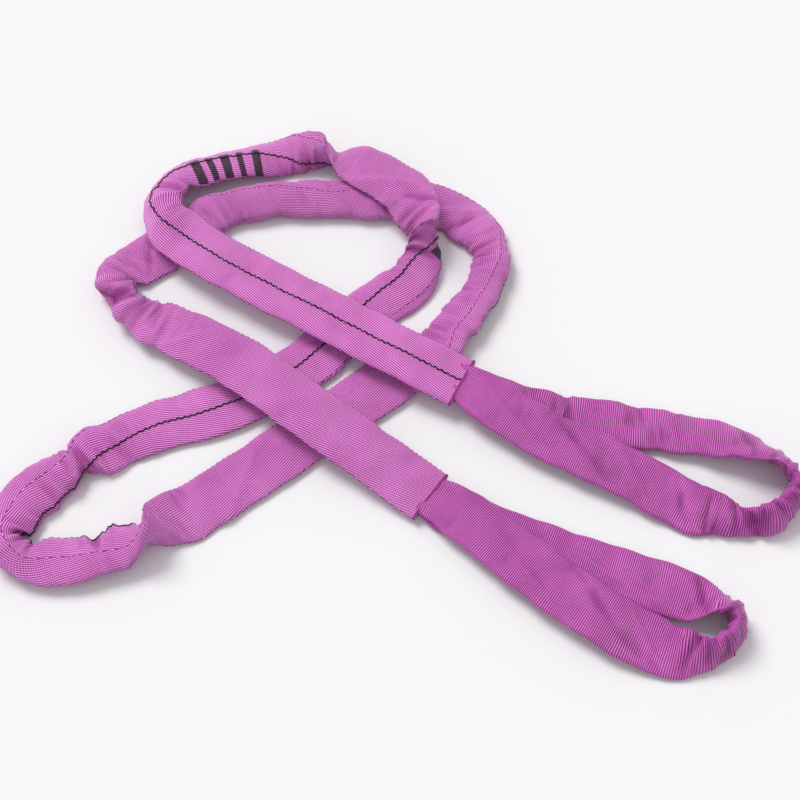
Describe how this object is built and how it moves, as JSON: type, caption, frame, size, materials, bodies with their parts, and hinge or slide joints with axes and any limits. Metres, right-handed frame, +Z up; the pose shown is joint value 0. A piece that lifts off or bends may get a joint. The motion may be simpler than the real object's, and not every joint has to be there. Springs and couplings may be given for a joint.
{
  "type": "round sling",
  "caption": "Slack eye-and-eye round sling with a flat sewn outer sleeve over two legs and a soft loop at each end, lying folded over itself.",
  "frame": {"origin": "on the floor under the middle of the whole sling as it lies", "axes": "+Z up from the floor; +X towards the two eyes, along the longest extent"},
  "size_m": [0.6103, 0.4784, 0.0373],
  "materials": {
    "sleeve_cloth": "pink-violet twill tape cloth, soft sheen",
    "cover_cloth": "violet cross-ribbed tubular cloth, soft sheen",
    "seam_thread": "dark magenta sewing thread",
    "stripe_thread": "black zigzag tracer thread",
    "core_yarn": "off-white polyester yarn"
  },
  "bodies": {
    "root": {"outer_sleeve": "sleeve_cloth", "edge_seam_left": "seam_thread", "edge_seam_right": "seam_thread", "stripe_thread": "stripe_thread", "mouth_hem_a": "seam_thread", "mouth_hem_b": "seam_thread", "leg_1_cover": "cover_cloth", "leg_1_core": "core_yarn", "leg_2_cover": "cover_cloth", "leg_2_core": "core_yarn"},
    "eye_a": {"eye_a_cover": "cover_cloth", "eye_a_core": "core_yarn"},
    "eye_b": {"eye_b_cover": "cover_cloth", "eye_b_core": "core_yarn"}
  },
  "joints": [
    {"name": "eye_a_lift", "type": "hinge", "parent": "root", "child": "eye_a", "pos_m": [0.04733, -0.00928, 0.02172], "axis": [-0.4617, -0.887, 0], "range_deg": [0, 75]},
    {"name": "eye_b_lift", "type": "hinge", "parent": "root", "child": "eye_b", "pos_m": [0.02243, -0.10245, 0.01269], "axis": [-0.5793, -0.8151, 0], "range_deg": [0, 75]}
  ]
}
